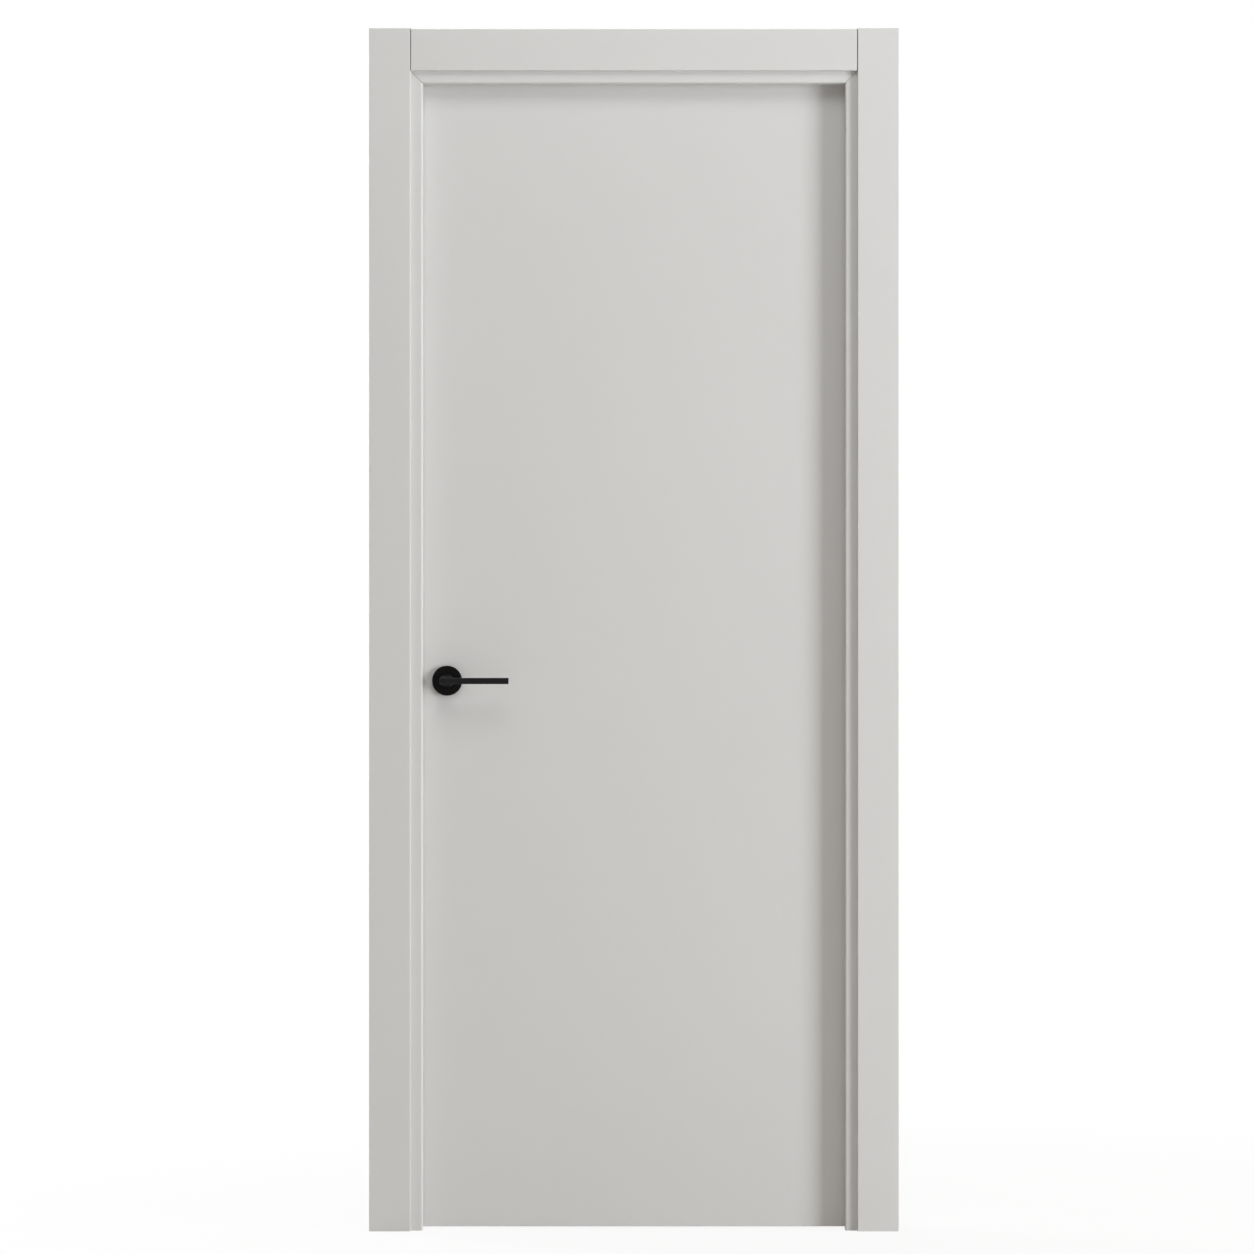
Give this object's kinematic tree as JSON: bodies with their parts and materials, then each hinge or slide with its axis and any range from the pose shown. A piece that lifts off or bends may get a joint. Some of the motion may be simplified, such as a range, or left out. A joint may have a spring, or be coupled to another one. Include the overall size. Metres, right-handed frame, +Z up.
{
  "type": "interior door",
  "caption": "Flush lacquered interior door in a rebated frame with flat casings on both faces, butt hinges and a black lever handle.",
  "frame": {"origin": "on the wall face of the hinge jamb, at its foot on the floor and in the middle of the wall's thickness", "axes": "+X out of the hinge jamb into the wall beside it, +Y from the push side to the pull side, +Z up; the leaf runs towards -X"},
  "size_m": [0.934, 0.145, 2.1205],
  "materials": {
    "lacquered_leaf": "pale grey-white satin lacquer on smooth board",
    "lacquered_edge": "pale grey-white satin lacquer on edge lipping",
    "lacquered_frame": "pale grey-white satin lacquer",
    "lacquered_casing": "pale grey-white satin lacquer",
    "core_board": "raw light board, hidden inside the leaf",
    "soft_seal": "soft matt light grey seal",
    "black_metal": "matt black coating",
    "black_lever": "matt black coating",
    "black_nylon": "black moulded nylon",
    "plain_steel": "plain zinc-plated steel"
  },
  "bodies": {
    "frame": {"hinge_jamb": "lacquered_frame", "lock_jamb": "lacquered_frame", "head_jamb": "lacquered_frame", "hinge_side_seal": "soft_seal", "lock_side_seal": "soft_seal", "head_seal": "soft_seal", "front_casing_hinge_side": "lacquered_casing", "front_casing_lock_side": "lacquered_casing", "front_casing_head": "lacquered_casing", "back_casing_hinge_side": "lacquered_casing", "back_casing_lock_side": "lacquered_casing", "back_casing_head": "lacquered_casing", "strike_plate": "black_metal", "top_hinge_jamb_plate": "black_metal", "middle_hinge_jamb_plate": "black_metal", "bottom_hinge_jamb_plate": "black_metal", "top_hinge_pin": "black_metal", "middle_hinge_pin": "black_metal", "bottom_hinge_pin": "black_metal"},
    "leaf": {"leaf_front_skin": "lacquered_leaf", "leaf_back_skin": "lacquered_leaf", "lock_stile": "lacquered_edge", "hinge_stile": "lacquered_edge", "leaf_top_rail": "lacquered_edge", "leaf_bottom_rail": "lacquered_edge", "leaf_core": "core_board", "latch_faceplate": "black_metal", "latch_case": "plain_steel", "latch_bolt": "plain_steel", "top_hinge_leaf_plate": "black_metal", "middle_hinge_leaf_plate": "black_metal", "bottom_hinge_leaf_plate": "black_metal", "front_rosette": "black_metal", "back_rosette": "black_metal", "front_rosette_base": "black_nylon", "back_rosette_base": "black_nylon"},
    "lever": {"front_lever": "black_lever", "back_lever": "black_lever", "spindle": "plain_steel", "latch_hub": "plain_steel"}
  },
  "joints": [
    {"name": "leaf_swing", "type": "hinge", "parent": "frame", "child": "leaf", "pos_m": [-0.0195, 0.042, 1.033], "axis": [0, 0, -1], "range_deg": [0, 170]},
    {"name": "lever_turn", "type": "hinge", "parent": "leaf", "child": "lever", "pos_m": [-0.734, 0.0175, 0.97], "axis": [0, 1, 0], "range_deg": [0, 45], "stiffness_Nm_per_rad": 0.8, "springref_deg": -34.38}
  ]
}
